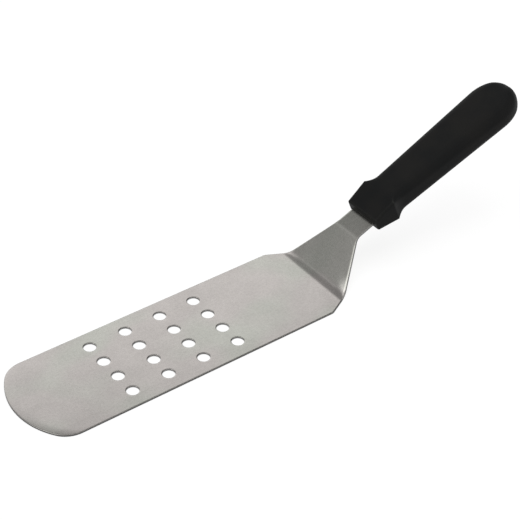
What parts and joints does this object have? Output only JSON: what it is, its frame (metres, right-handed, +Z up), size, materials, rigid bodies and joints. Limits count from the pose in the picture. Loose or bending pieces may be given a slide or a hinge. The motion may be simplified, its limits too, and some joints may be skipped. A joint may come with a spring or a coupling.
{
  "type": "grill spatula",
  "caption": "Offset grill spatula: a long flat stainless blade with a rounded tip and drain holes, a cranked neck, and a black moulded grip with a flared collar.",
  "frame": {"origin": "on the underside of the flat blade, on the middle line, where the heel bend starts", "axes": "+X runs from the blade's tip to the grip, +Y across the blade, +Z up from the face that it rests on"},
  "size_m": [0.4054, 0.076, 0.0954],
  "materials": {
    "steel": "satin brushed sheet",
    "grip_plastic": "fine satin texture"
  },
  "bodies": {
    "root": {"blade": "steel", "grip": "grip_plastic"}
  },
  "joints": []
}
